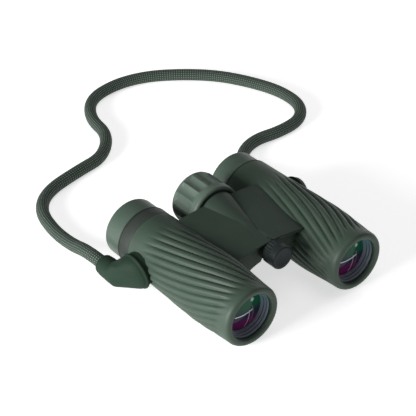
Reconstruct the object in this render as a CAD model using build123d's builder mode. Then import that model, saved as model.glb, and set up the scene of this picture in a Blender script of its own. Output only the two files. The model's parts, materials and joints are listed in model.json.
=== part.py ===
"""Compact roof-prism binoculars: two ribbed barrels on a centre hinge, with a braided strap.

Millimetres. +Z is up and +Y runs from the objectives to the eyepieces. The origin lies on the
surface that the pair stands on, midway between the barrels and midway along them. Right and
left are the user's own, so the right barrel is on the -X side.
"""
import os
from math import atan2, cos, degrees, hypot, pi, radians, sin, tan

from build123d import *

# Overall sizes
LENGTH = 107.0                # objective rim to eyecup rim
AXES_APART = 74.0             # between the barrel axes, hinge fully open
HINGE_RISE = 9.6              # hinge axis above the barrel axes
FOLD_ANGLE = 57.0             # how far the left barrel folds down, in degrees

# Barrel tubes and their rubber armour
TUBE_R = 16.0
TUBE_WALL = 1.5
TUBE_START = 3.0              # behind the objective rim
ARMOUR_FRONT_WALL = 1.5
ARMOUR_NECK_WALL = 2.04
ARMOUR_WIDE_WALL = 3.43
ARMOUR_WAIST_WALL = 2.5
ARMOUR_REAR_WALL = 2.13
NECK_AT = 9.9                 # behind the objective rim
WIDEST_AT = 31.0              # behind the objective rim
WAIST_FROM_REAR = 34.0
OPENING_R = 13.25
RIM_OUTER_FILLET = 2.2
RIM_INNER_FILLET = 1.6
EYECUP_LENGTH = 13.3
DIOPTER_WIDTH = 8.9

# Clearances
GAP = 0.05                    # between fitted pieces that don't move
RUN = 0.08                    # radial running fit
SEAM = 0.3                    # between faces that pass each other
SLIT = 0.1                    # end clearance of rings and inserts

# Bridge and hinge
BRIDGE_FRONT = 28.9           # behind the objective rim, edge of the brow
BROW_DEPTH = 3.1              # the front face stands this far behind the brow
BROW_EDGE = 1.0               # thickness of the brow's edge
BROW_ROOT = 4.6               # thickness of the brow where it meets the face
BRIDGE_REAR = 32.2            # before the eyecup rim
BRIDGE_INSET = 7.0            # the blank stops this far short of the barrel axes
CROWN_FRONT = 6.3             # bridge top above the hinge axis, in front
CROWN_REAR = 8.5
FRONT_TOP_RADIUS = 108.0
REAR_TOP_RADIUS = 247.0
ARCH_TOP = 7.0                # underside below the hinge axis
ARCH_RADIUS = 28.0
HOOD_R = (6.3, 7.3, 9.5, 12.6)     # hinge hood at its four stations, front to rear
KNUCKLE_R = 5.0
KNUCKLE_FRONT = 29.6          # behind the objective rim
FRONT_KNUCKLE = 14.0          # length
MIDDLE_KNUCKLE = 14.0
WASHER = 0.4
BULKHEAD = 2.6
REAR_WALL = 1.8
HOOD_WALL = 1.4
SHAFT_R = 2.5
PLATE_BELOW = 58.0            # each plate of the bridge ends this far below level, in degrees
WEB_START = -56.0             # the left arm's web about the hinge, in degrees from +X up
WEB_SWEEP = 96.0
WEB_ROOM = (9.0, 5.0)         # degrees of room below and above the web's swing
ARM_ROOM = (43.0, 12.0)       # the same for the left focus arm, from level

# Focusing
WHEEL_R = 15.8
WHEEL_LENGTH = 21.8
WHEEL_FROM_REAR = 9.7         # wheel's rear face before the eyecup rim
WHEEL_GRIP = 2.3              # thickness of the rubber grip
WHEEL_SHOULDER = 3.4
WHEEL_RIM = 2.8               # plain rim in front of the flutes
FLUTES = 15
FLUTE_R = 4.0
FLUTE_DEPTH = 0.8
WHEEL_CAP_R = 9.6
WHEEL_CAP_SEAT = 2.6          # depth of the seat for the wheel's end cap
WHEEL_CAP_DOME = (1.0, 0.4, 0.2)      # its edge, shoulder and middle, before the wheel's end
WHEEL_CAP_BEVEL = 0.8
WHEEL_CAP_WALL = 1.2          # of the wheel round the end cap
WHEEL_WALL = 1.8              # of the wheel's open front
WHEEL_FRONT_FILLET = 0.8
GRIP_TURN_IN = 2.4            # the grip laps this deep over the wheel's rear
CAP_WALL_SETBACK = 0.6
SHAFT_SETBACK = 3.5           # the hinge shaft ends this far before the wheel's end
WHEEL_HOLLOW = 9.0            # depth of the wheel's open front
COLLAR_R = 10.0
COLLAR_LAP = 2.0              # how far the collar reaches into the wheel
SCREW_R = 4.5
HUB_R = 6.2
FLANGE_R = 7.6
FLANGE = 1.3
ARM_RING_R = 8.0
ARM_THICK = 1.4
ARM_HALF_HEIGHT = 2.9
FOCUS_TRAVEL = 2.4            # each way
FOCUS_CELL_AT = 38.0          # behind the objective rim
FOCUS_CELL = 6.0
FOCUS_CELL_WALL = 1.2         # inside the finger
FOCUS_LENS_AT = (1.6, 4.4)    # in its cell
FOCUS_LENS_BULGE = (-0.5, -0.6)
FINGER_ROOM = 1.0             # between the finger and the barrel's bore
FINGER_HALF_WIDTH = 2.0
FINGER_THICK = 2.0

# Optics
OBJECTIVE_AT = 7.6            # front of the objective's edge, behind the rim
OBJECTIVE_R = 12.2
OBJECTIVE_THREAD_R = 13.6
CELL_SETBACK = 0.4            # the cell begins this far behind the armour's lip
SEAT_DEPTH = 6.0
SEAL_GROOVE = (0.9, 1.6)      # depth and width
RING_BORE = 12.4
RING_EDGE = 0.7               # how far the ring laps over the lens
RING_SETBACK = 0.5            # of the ring's front and of its clamping face
RING_BEVEL = (0.6, 1.2)       # the ring's bore opens between these two depths
LENS_SHOULDER = 1.2           # width of the seat that a lens rests on
SEAL_LAND = (1.2, 1.4)        # metal before and behind the seal's groove
THREAD_RELIEF = 0.6           # the cell's thread ends this far behind the lens's place
CROWN_AT = (0.7, 3.0)         # edge of the front lens, behind the objective's place
CROWN_BULGE = (1.3, 1.1)
FLINT_BULGE = (-1.1, -0.4)
PRISM_FROM_REAR = 32.6        # rear end of the prism cage before the eyecup rim
CAGE_LENGTH = 26.0
POCKET = 16.0                 # square pocket for the prisms
PRISM = 15.6
PRISM_LENGTH = 20.0
PRISM_SLANT = 3.0
EYEPIECE_R = 14.3
EYEPIECE_BORE = 12.2
EYEPIECE_FROM_REAR = 29.0     # front of the eyepiece tube before the eyecup rim
EYE_RELIEF_DEPTH = 3.5        # the eyepiece tube ends this far inside the eyecup
OCULAR_LENGTH = 19.5
OCULAR_WALL = 1.4
OCULAR_SETBACK = 1.6          # ocular at its rear limit, before the eyepiece tube's end
OCULAR_STOP = (1.6, 1.5)      # inner lip at the ocular's front: width and thickness
FIELD_AT = (3.0, 6.0)         # edge of the field lens, behind the ocular's front
FIELD_BULGE = (1.3, 0.8)
EYE_AT = (6.5, 3.6)           # edge of the eye lens, before the ocular's end
EYE_BULGE = (0.6, 1.4)
OCULAR_RING_AT = (3.2, 0.4)   # before the ocular's end
OCULAR_RING_WALL = (0.8, 0.3)
DIOPTER_TRAVEL = 1.2
EYECUP_R = 17.27
EYECUP_RUBBER = 1.1
EYECUP_LIP = 1.5
EYECUP_LIP_BORE = 12.0
EYECUP_FILLET = 1.4
DETENT = 2.2
DETENT_AT = 3.0               # click ring behind the eyecup's seam
CUP_WALL = 0.7                # the eyecup sleeve's wall beside the click ring
CUP_BAND = 1.5                # the sleeve's full-thickness band behind the click ring
CUP_BEYOND = 1.6              # the sleeve ends this far behind the eyepiece tube
KEY_SLOT = 1.2

# Front cap over the tripod socket
CAP_R = 6.94
CAP_LENGTH = 9.4
CAP_GRIP = 4.6                # ribbed part of the cap
CAP_RIBS = 24
CAP_GROOVE = (0.7, 0.9)       # section of the grooves between the ribs, half of it in the cap
CAP_FILLET = 0.9
CAP_LAND = 1.8                # the washer stands this far inside the cap's rim
CAP_WASHER = 0.9              # thickness of the rubber washer behind the cap
SOCKET_R = 3.18               # quarter-inch thread
SOCKET_DEPTH = 7.5
SOCKET_WALL = 1.4

# Strap
LUG_AT = 32.5                 # lug axis before the eyecup rim
LUG_TILT = 10.0               # the lugs point outwards and down
LUG_R = 10.0
LUG_STAND = 4.2               # the lug's face beyond the barrel tube
FLANGE_RADIUS = 11.0
FLANGE_THICK = 2.0
SLEEVE_STAND = 10.63          # sleeve axis beyond the barrel tube
SLEEVE_DROP = 4.586
SLEEVE_R = 6.4
SLEEVE_END_R = 4.75
SLEEVE_END = 8.5              # before the eyecup rim
SLEEVE_PLAIN = (6.0, 10.0)     # the sleeve's plain stretch, behind the lug's axis
ELBOW_INSET = (0.9, 2.6)      # the elbow is this much smaller than the flange, at two stations
ELBOW_SHIFT = (2.0, 6.0)      # and leans this far towards the sleeve
ELBOW_SINK = 0.5              # it begins this deep in the flange
ELBOW_TOP = (1.0, 2.2)        # its top is this far inside the sleeve, outwards and across
FLANGE_EDGE = 0.45            # of the flange's thickness
CORD_R = 3.85

FRONT = -LENGTH / 2
REAR = LENGTH / 2
AXIS_Z = TUBE_R + ARMOUR_WIDE_WALL
HINGE_Z = AXIS_Z + HINGE_RISE
HINGE = (0.0, HINGE_Z)
BARRELS = {"right": (-AXES_APART / 2, AXIS_Z), "left": (AXES_APART / 2, AXIS_Z)}
TUBE_BORE = TUBE_R - TUBE_WALL
SLEEVE_OUT = TUBE_R + SLEEVE_STAND
SEAM_Y = REAR - EYECUP_LENGTH                       # where the eyecups begin
ARM_LENGTH = hypot(AXES_APART / 2, HINGE_RISE)      # hinge axis to barrel axis
ARM_DIP = degrees(atan2(HINGE_RISE, AXES_APART / 2))

os.makedirs("parts", exist_ok=True)


def save(piece, label):
    """Label a finished piece and write its STEP file."""
    piece.part.label = label
    export_step(piece.part, f"parts/{label}.step")


def lengthwise(centre):
    """The sketch plane through a lengthwise axis: local x is the radius, local y is along +Y."""
    return Plane(origin=(centre[0], 0, centre[1]), x_dir=(1, 0, 0), z_dir=(0, 0, 1))


def axis_of(centre):
    return Axis((centre[0], 0, centre[1]), (0, 1, 0))


def across(centre, y, dip=0.0, toward=1):
    """A plane square to +Y at y; its local x points from centre, dipped, to one side."""
    tilt = radians(dip)
    return Plane(origin=(centre[0], y, centre[1]), x_dir=(toward * cos(tilt), 0, -sin(tilt)),
                 z_dir=(0, 1, 0))


def turned(centre, outline):
    """A piece turned about a lengthwise axis, from its (radius, y) outline."""
    with BuildPart() as piece:
        with BuildSketch(lengthwise(centre)):
            with BuildLine():
                Polyline(*outline, close=True)
            make_face()
        revolve(axis=axis_of(centre))
    return piece


def ring(centre, inner, outer, y_front, y_rear):
    return turned(centre, [(inner, y_front), (outer, y_front), (outer, y_rear), (inner, y_rear)])


def halfway_bulge(radius, bulge):
    """Height of a spherical cap over its edge plane, halfway out from its middle."""
    sphere = (radius ** 2 + bulge ** 2) / (2 * abs(bulge))
    drop = sphere - (sphere ** 2 - (radius / 2) ** 2) ** 0.5
    return bulge - drop if bulge > 0 else bulge + drop


def lens(centre, radius, y_front, y_rear, bulge_front, bulge_rear):
    """A lens between two edge planes; a positive bulge stands outwards."""
    front_half = y_front - halfway_bulge(radius, bulge_front)
    rear_half = y_rear + halfway_bulge(radius, bulge_rear)
    with BuildPart() as piece:
        with BuildSketch(lengthwise(centre)):
            with BuildLine():
                Line((0, y_rear + bulge_rear), (0, y_front - bulge_front))
                ThreePointArc((0, y_front - bulge_front), (radius / 2, front_half),
                              (radius, y_front))
                Line((radius, y_front), (radius, y_rear))
                ThreePointArc((radius, y_rear), (radius / 2, rear_half),
                              (0, y_rear + bulge_rear))
            make_face()
        revolve(axis=axis_of(centre))
    return piece


def sector(inner, outer, y_front, y_rear, start, sweep):
    """Part of a ring about the hinge axis; angles run from +X towards +Z."""
    with BuildPart() as piece:
        with BuildSketch(Plane(origin=(0, y_front, HINGE_Z), x_dir=(1, 0, 0), z_dir=(0, -1, 0))):
            with BuildLine():
                first = CenterArc((0, 0), outer, start, sweep)
                second = CenterArc((0, 0), inner, start, sweep)
                Line(first @ 0, second @ 0)
                Line(first @ 1, second @ 1)
            make_face()
        extrude(amount=-(y_rear - y_front))
    return piece


# Armour: rubber sleeves moulded over the tubes, lipped round the objectives
ARMOUR_END = {"right": SEAM_Y - DIOPTER_WIDTH, "left": SEAM_Y}


def armour_wall(y):
    """Thickness of the armour over the tube at y, read off its outer curve."""
    stations = [FRONT, FRONT + NECK_AT, FRONT + WIDEST_AT, REAR - WAIST_FROM_REAR, SEAM_Y]
    walls = [ARMOUR_FRONT_WALL, ARMOUR_NECK_WALL, ARMOUR_WIDE_WALL, ARMOUR_WAIST_WALL,
             ARMOUR_REAR_WALL]
    for k in range(4):
        if y <= stations[k + 1]:
            share = (y - stations[k]) / (stations[k + 1] - stations[k])
            return walls[k] + share * (walls[k + 1] - walls[k])
    return walls[-1]


def armour(side):
    centre = BARRELS[side]
    end = ARMOUR_END[side]
    last_wall = armour_wall(end)
    with BuildPart() as piece:
        with BuildSketch(lengthwise(centre)):
            with BuildLine():
                outer = Spline(
                    (TUBE_R + ARMOUR_FRONT_WALL, FRONT),
                    (TUBE_R + ARMOUR_NECK_WALL, FRONT + NECK_AT),
                    (TUBE_R + ARMOUR_WIDE_WALL, FRONT + WIDEST_AT),
                    (TUBE_R + ARMOUR_WAIST_WALL, REAR - WAIST_FROM_REAR),
                    (TUBE_R + last_wall, end),
                )
                Polyline(outer @ 1, (TUBE_R + GAP, end), (TUBE_R + GAP, FRONT + TUBE_START),
                         (OPENING_R, FRONT + TUBE_START), (OPENING_R, FRONT), outer @ 0)
            make_face()
        revolve(axis=axis_of(centre))
        rim = piece.edges().filter_by(GeomType.CIRCLE).group_by(Axis.Y)[0]
        fillet(rim.sort_by(SortBy.RADIUS)[-1], radius=RIM_OUTER_FILLET)
        rim = piece.edges().filter_by(GeomType.CIRCLE).group_by(Axis.Y)[0]
        fillet(rim.sort_by(SortBy.RADIUS)[0], radius=RIM_INNER_FILLET)
    return piece


# Bridge: a crowned plate with an arched underside, made as one blank and then parted
BRIDGE_HALF = AXES_APART / 2 - BRIDGE_INSET
BROW_Y = FRONT + BRIDGE_FRONT
FACE_Y = BROW_Y + BROW_DEPTH
BRIDGE_END_Y = REAR - BRIDGE_REAR


def crown_at(y):
    share = (y - BROW_Y) / (BRIDGE_END_Y - BROW_Y)
    return CROWN_FRONT + share * (CROWN_REAR - CROWN_FRONT)


def top_radius_at(y):
    share = (y - BROW_Y) / (BRIDGE_END_Y - BROW_Y)
    return 1 / ((1 - share) / FRONT_TOP_RADIUS + share / REAR_TOP_RADIUS)


def sagged(top, radius, x):
    """Height of a crown of the given radius at x, measured from its middle's height."""
    return top - (radius - (radius ** 2 - x ** 2) ** 0.5)


def bridge_section(y, thickness=None):
    """One cross-section: crowned above, and arched below unless a thickness is given."""
    top = crown_at(y)
    radius = top_radius_at(y)
    half = BRIDGE_HALF
    edge = sagged(top, radius, half)
    with BuildSketch(Plane(origin=(0, y, HINGE_Z), x_dir=(1, 0, 0), z_dir=(0, -1, 0))) as section:
        with BuildLine():
            ThreePointArc((-half, edge), (0, top), (half, edge))
            if thickness:
                Line((half, edge), (half, edge - thickness))
                ThreePointArc((half, edge - thickness), (0, top - thickness),
                              (-half, edge - thickness))
                Line((-half, edge - thickness), (-half, edge))
            else:
                foot = 0.75 * ARCH_RADIUS
                low = sagged(-ARCH_TOP, ARCH_RADIUS, foot)
                Polyline((half, edge), (half, low), (foot, low))
                ThreePointArc((foot, low), (0, -ARCH_TOP), (-foot, low))
                Polyline((-foot, low), (-half, low), (-half, edge))
        make_face()
    return section.sketch


def bridge_blank():
    with BuildPart() as blank:
        add(bridge_section(FACE_Y))
        add(bridge_section(BRIDGE_END_Y))
        loft()
    with BuildPart() as brow:
        add(bridge_section(BROW_Y, BROW_EDGE))
        add(bridge_section(FACE_Y, BROW_ROOT))
        loft()
    with BuildPart() as whole:
        add(blank.part)
        add(brow.part)
    return whole.part


# Hood: the flared cover about the hinge axis that the right arm carries
KNUCKLE_Y = FRONT + KNUCKLE_FRONT
MIDDLE_Y = KNUCKLE_Y + FRONT_KNUCKLE
MIDDLE_END_Y = MIDDLE_Y + 2 * WASHER + MIDDLE_KNUCKLE
CAVITY_Y = MIDDLE_END_Y + BULKHEAD
CAVITY_END_Y = BRIDGE_END_Y - REAR_WALL


def hood(extra=0.0, beyond=0.0):
    """The hood as a full flared plug, grown by extra all round and run on at both ends."""
    span = BRIDGE_END_Y - KNUCKLE_Y
    tail = [(0, BRIDGE_END_Y), (0, KNUCKLE_Y)]
    if beyond:
        tail = [(HOOD_R[3] + extra, BRIDGE_END_Y + beyond), (0, BRIDGE_END_Y + beyond),
                (0, KNUCKLE_Y - beyond), (HOOD_R[0] + extra, KNUCKLE_Y - beyond)]
    with BuildPart() as piece:
        with BuildSketch(lengthwise(HINGE)):
            with BuildLine():
                flare = Spline(
                    (HOOD_R[0] + extra, KNUCKLE_Y),
                    (HOOD_R[1] + extra, KNUCKLE_Y + 0.37 * span),
                    (HOOD_R[2] + extra, KNUCKLE_Y + 0.68 * span),
                    (HOOD_R[3] + extra, BRIDGE_END_Y),
                )
                Polyline(flare @ 1, *tail, flare @ 0)
            make_face()
        revolve(axis=axis_of(HINGE))
    return piece.part


def pie(start, sweep, y_front, y_rear):
    """A wide wedge about the hinge axis, larger than the bridge."""
    reach = 2 * AXES_APART
    angles = [radians(start + share * sweep) for share in (0, 0.5, 1)]
    with BuildPart() as piece:
        with BuildSketch(Plane(origin=(0, y_front, HINGE_Z), x_dir=(1, 0, 0), z_dir=(0, -1, 0))):
            with BuildLine():
                Polyline((0, 0), *[(reach * cos(a), reach * sin(a)) for a in angles], close=True)
            make_face()
        extrude(amount=-(y_rear - y_front))
    return piece.part


def arm_slot(toward, y_middle):
    """The slot that a focus arm slides in, from beside the hinge to inside the barrel tube."""
    half_length = ARM_THICK / 2 + FOCUS_TRAVEL + SEAM
    inner_end = HUB_R
    outer_end = ARM_LENGTH - TUBE_BORE + 3
    with BuildPart() as piece:
        with BuildSketch(across(HINGE, y_middle - half_length, ARM_DIP, toward)):
            with Locations(((inner_end + outer_end) / 2, 0)):
                Rectangle(outer_end - inner_end, 2 * (ARM_HALF_HEIGHT + SEAM))
        extrude(amount=2 * half_length)
    return piece.part


HUB_Y = (CAVITY_Y + CAVITY_END_Y) / 2              # middle of the carriage at rest
ARM_Y = {"right": HUB_Y - ARM_THICK / 2 - GAP, "left": HUB_Y + ARM_THICK / 2 + GAP}
TOWARD = {"right": -1, "left": 1}
PLATE_ANGLES = {"right": (90, 180 + PLATE_BELOW), "left": (-PLATE_BELOW, 90)}
BLANK = bridge_blank()


def solid_cylinder(centre, radius, y_front, y_rear):
    return turned(centre, [(0, y_front), (radius, y_front), (radius, y_rear), (0, y_rear)]).part


def plate(side):
    """One half of the bridge blank, parted on the hinge and saddled to its barrel tube."""
    start, end = PLATE_ANGLES[side]
    with BuildPart() as piece:
        add(BLANK)
        add(pie(start, end - start, FRONT, REAR), mode=Mode.INTERSECT)
        add(solid_cylinder(BARRELS[side], TUBE_R + GAP, FRONT, REAR), mode=Mode.SUBTRACT)
    return piece.part


RIGHT_PLATE = plate("right")
LEFT_PLATE = plate("left")

with BuildPart() as hood_cavity:
    add(hood(-HOOD_WALL))
    add(solid_cylinder(HINGE, AXES_APART, CAVITY_Y, CAVITY_END_Y), mode=Mode.INTERSECT)

SOCKET_END_Y = KNUCKLE_Y + SOCKET_DEPTH
WASHER_R = CAP_R - CAP_LAND

with BuildPart() as right_hinge_arm:
    add(RIGHT_PLATE)
    add(hood())
    add(solid_cylinder(HINGE, WASHER_R + SEAM, FRONT, KNUCKLE_Y), mode=Mode.SUBTRACT)
    # the middle knuckle turns here, and its web swings through the open side
    add(pie(WEB_START - FOLD_ANGLE - WEB_ROOM[0], WEB_SWEEP + FOLD_ANGLE + sum(WEB_ROOM),
            MIDDLE_Y, MIDDLE_END_Y), mode=Mode.SUBTRACT)
    add(solid_cylinder(HINGE, KNUCKLE_R + RUN, MIDDLE_Y, MIDDLE_END_Y), mode=Mode.SUBTRACT)
    # the focus carriage slides here, and the left focus arm swings through the open side
    add(hood_cavity.part, mode=Mode.SUBTRACT)
    add(pie(-FOLD_ANGLE - ARM_ROOM[0], FOLD_ANGLE + sum(ARM_ROOM), CAVITY_Y, CAVITY_END_Y),
        mode=Mode.SUBTRACT)
    add(arm_slot(-1, ARM_Y["right"]), mode=Mode.SUBTRACT)
    # bores for the tripod socket, the shaft and the focus screw
    add(solid_cylinder(HINGE, SOCKET_R + SOCKET_WALL + GAP, KNUCKLE_Y, SOCKET_END_Y),
        mode=Mode.SUBTRACT)
    add(solid_cylinder(HINGE, SHAFT_R + GAP, KNUCKLE_Y, CAVITY_Y), mode=Mode.SUBTRACT)
    add(solid_cylinder(HINGE, SCREW_R + RUN, CAVITY_END_Y, BRIDGE_END_Y), mode=Mode.SUBTRACT)
save(right_hinge_arm, "right_hinge_arm")

WEB_REACH = HOOD_R[2] + 1.5
WEB_FRONT_Y = MIDDLE_Y + WASHER
WEB_REAR_Y = MIDDLE_END_Y - WASHER

with BuildPart() as left_web:
    add(sector(KNUCKLE_R / 2, WEB_REACH, WEB_FRONT_Y, WEB_REAR_Y, WEB_START, WEB_SWEEP).part)
    add(BLANK, mode=Mode.INTERSECT)

with BuildPart() as left_hinge_arm:
    add(LEFT_PLATE)
    add(hood(SEAM / 2, beyond=BROW_DEPTH), mode=Mode.SUBTRACT)
    add(left_web.part)
    add(solid_cylinder(HINGE, KNUCKLE_R, WEB_FRONT_Y, WEB_REAR_Y))
    add(solid_cylinder(HINGE, SHAFT_R + RUN, WEB_FRONT_Y, WEB_REAR_Y), mode=Mode.SUBTRACT)
    add(arm_slot(1, ARM_Y["left"]), mode=Mode.SUBTRACT)
save(left_hinge_arm, "left_hinge_arm")

with BuildPart() as hinge_washers:
    add(ring(HINGE, SHAFT_R + RUN, KNUCKLE_R - GAP, MIDDLE_Y + GAP, WEB_FRONT_Y - GAP).part)
    add(ring(HINGE, SHAFT_R + RUN, KNUCKLE_R - GAP, WEB_REAR_Y + GAP, MIDDLE_END_Y - GAP).part)
save(hinge_washers, "hinge_washers")


# Barrels: tube, armour, strap lug and what is fixed inside
LUG_Y = REAR - LUG_AT
LUG_FACE = TUBE_R + LUG_STAND


def lug_plane(side, out, along=0.0, up=0.0):
    """A plane facing outwards at the strap lug: local x is +Y, up is square to both."""
    tilt = radians(LUG_TILT)
    toward = TOWARD[side]
    centre = BARRELS[side]
    return Plane(
        origin=(centre[0] + toward * (out * cos(tilt) + up * sin(tilt)), LUG_Y + along,
                centre[1] - out * sin(tilt) + up * cos(tilt)),
        x_dir=(0, 1, 0), z_dir=(toward * cos(tilt), 0, -sin(tilt)))


def lug_post(side, radius, reach):
    with BuildPart() as piece:
        with BuildSketch(lug_plane(side, TUBE_R / 2)):
            Circle(radius)
        extrude(amount=reach - TUBE_R / 2)
    return piece.part


TUBE_END_Y = SEAM_Y - GAP
CAGE_END_Y = REAR - PRISM_FROM_REAR
CAGE_Y = CAGE_END_Y - CAGE_LENGTH
EYEPIECE_Y = REAR - EYEPIECE_FROM_REAR
EYEPIECE_END_Y = REAR - EYE_RELIEF_DEPTH
OBJECTIVE_Y = FRONT + OBJECTIVE_AT
FINGER_OUTER = TUBE_BORE - FINGER_ROOM
FINGER_INNER = FINGER_OUTER - FINGER_THICK


def barrel(side):
    """Every fixed piece of one barrel."""
    centre = BARRELS[side]
    toward = TOWARD[side]

    tube = ring(centre, TUBE_BORE, TUBE_R, FRONT + TUBE_START + GAP, TUBE_END_Y)
    with BuildPart() as slotted_tube:
        add(tube.part)
        add(arm_slot(toward, ARM_Y[side]), mode=Mode.SUBTRACT)
    save(slotted_tube, f"{side}_barrel_tube")

    with BuildPart() as lug:
        add(lug_post(side, LUG_R, LUG_FACE))
        add(solid_cylinder(centre, TUBE_R + GAP, FRONT, REAR), mode=Mode.SUBTRACT)
    save(lug, f"{side}_strap_lug")

    with BuildPart() as sleeve:
        add(armour(side).part)
        add(BLANK, mode=Mode.SUBTRACT)
        add(lug_post(side, LUG_R + GAP, LUG_FACE + 1), mode=Mode.SUBTRACT)
    save(sleeve, f"{side}_armour")

    # the objective cell has a seat for the lens, a groove for its seal and a threaded ring
    cell_front = FRONT + TUBE_START + CELL_SETBACK
    seat = OBJECTIVE_Y + SEAT_DEPTH
    groove = seat + SEAL_LAND[0]
    groove_r = TUBE_BORE - GAP - SEAL_GROOVE[0]
    groove_end = groove + SEAL_GROOVE[1]
    cell_end = groove_end + SEAL_LAND[1]
    thread_end = OBJECTIVE_Y + THREAD_RELIEF
    outer = TUBE_BORE - GAP
    cell = turned(centre, [
        (OBJECTIVE_THREAD_R, cell_front), (outer, cell_front), (outer, groove),
        (groove_r, groove), (groove_r, groove_end), (outer, groove_end),
        (outer, cell_end), (OBJECTIVE_R - LENS_SHOULDER, cell_end),
        (OBJECTIVE_R - LENS_SHOULDER, seat), (OBJECTIVE_R + GAP, seat),
        (OBJECTIVE_R + GAP, thread_end), (OBJECTIVE_THREAD_R, thread_end),
    ])
    save(cell, f"{side}_objective_cell")
    seal = ring(centre, groove_r + GAP, outer - GAP, groove + 2 * GAP, groove_end - 2 * GAP)
    save(seal, f"{side}_objective_seal")
    crown_end = OBJECTIVE_Y + CROWN_AT[1]
    crown = lens(centre, OBJECTIVE_R, OBJECTIVE_Y + CROWN_AT[0], crown_end, *CROWN_BULGE)
    save(crown, f"{side}_objective_lens")
    flint = lens(centre, OBJECTIVE_R, crown_end + GAP, seat - GAP, *FLINT_BULGE)
    save(flint, f"{side}_objective_rear_lens")
    ring_r = OBJECTIVE_THREAD_R - 2 * GAP
    edge_r = OBJECTIVE_R - RING_EDGE
    ring_front = cell_front + RING_SETBACK
    ring_end = OBJECTIVE_Y + RING_SETBACK
    retainer = turned(centre, [
        (RING_BORE, ring_front), (ring_r, ring_front), (ring_r, ring_end), (edge_r, ring_end),
        (edge_r, OBJECTIVE_Y - RING_BEVEL[0]), (RING_BORE, OBJECTIVE_Y - RING_BEVEL[1]),
    ])
    save(retainer, f"{side}_objective_ring")

    # the prism cage leaves a groove for the focus finger
    with BuildPart() as cage:
        add(solid_cylinder(centre, outer, CAGE_Y, CAGE_END_Y))
        with BuildSketch(across(centre, CAGE_Y, -ARM_DIP, -toward)):
            Rectangle(POCKET, POCKET)
            with Locations(((FINGER_INNER - SEAM + TUBE_R) / 2, 0)):
                Rectangle(TUBE_R - FINGER_INNER + SEAM, 2 * (ARM_HALF_HEIGHT + SEAM))
        extrude(amount=CAGE_LENGTH, mode=Mode.SUBTRACT)
    save(cage, f"{side}_prism_cage")

    half = PRISM / 2
    start = CAGE_Y + 3
    middle = start + PRISM_LENGTH / 2
    with BuildPart() as prisms:
        inward = across(centre, 0, -ARM_DIP, -toward).x_dir
        with BuildSketch(Plane(origin=(centre[0], 0, centre[1]), x_dir=(0, 1, 0), z_dir=inward)):
            with BuildLine():
                Polyline((start, -half), (middle + PRISM_SLANT, -half),
                         (middle - PRISM_SLANT, half), (start, half), close=True)
            make_face()
            with BuildLine():
                Polyline((middle + PRISM_SLANT + SEAM, -half), (start + PRISM_LENGTH, -half),
                         (start + PRISM_LENGTH, half), (middle - PRISM_SLANT + SEAM, half),
                         close=True)
            make_face()
        extrude(amount=half, both=True)
    save(prisms, f"{side}_prism_pair")

    eyepiece = turned(centre, [
        (EYEPIECE_BORE, EYEPIECE_Y), (outer, EYEPIECE_Y), (outer, SEAM_Y),
        (EYEPIECE_R, SEAM_Y), (EYEPIECE_R, EYEPIECE_END_Y), (EYEPIECE_BORE, EYEPIECE_END_Y),
    ])
    save(eyepiece, f"{side}_eyepiece_tube")


OCULAR_Y = EYEPIECE_END_Y - DIOPTER_TRAVEL - OCULAR_SETBACK - OCULAR_LENGTH


def ocular(side):
    """The eye lens cell with its field lens, eye lens and threaded ring."""
    centre = BARRELS[side]
    outer = EYEPIECE_BORE - RUN
    bore = outer - OCULAR_WALL
    end = OCULAR_Y + OCULAR_LENGTH
    stop_r = bore - OCULAR_STOP[0]
    stop_end = OCULAR_Y + OCULAR_STOP[1]
    cell = turned(centre, [
        (stop_r, OCULAR_Y), (outer, OCULAR_Y), (outer, end), (bore, end), (bore, stop_end),
        (stop_r, stop_end),
    ])
    save(cell, f"{side}_ocular_cell")
    field = lens(centre, bore - GAP, OCULAR_Y + FIELD_AT[0], OCULAR_Y + FIELD_AT[1],
                 *FIELD_BULGE)
    save(field, f"{side}_field_lens")
    eye = lens(centre, bore - GAP, end - EYE_AT[0], end - EYE_AT[1], *EYE_BULGE)
    save(eye, f"{side}_eye_lens")
    ring_front = end - OCULAR_RING_AT[0]
    ring_end = end - OCULAR_RING_AT[1]
    retainer = turned(centre, [
        (bore - OCULAR_RING_WALL[0], ring_front), (bore - GAP, ring_front),
        (bore - GAP, ring_end), (bore - OCULAR_RING_WALL[1], ring_end),
    ])
    save(retainer, f"{side}_ocular_ring")


CUP_BORE = EYEPIECE_R + RUN
CUP_SHELL = EYECUP_R - EYECUP_RUBBER
DETENT_Y = SEAM_Y + DETENT_AT
SLEEVE_END_Y = EYEPIECE_END_Y + CUP_BEYOND


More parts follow.
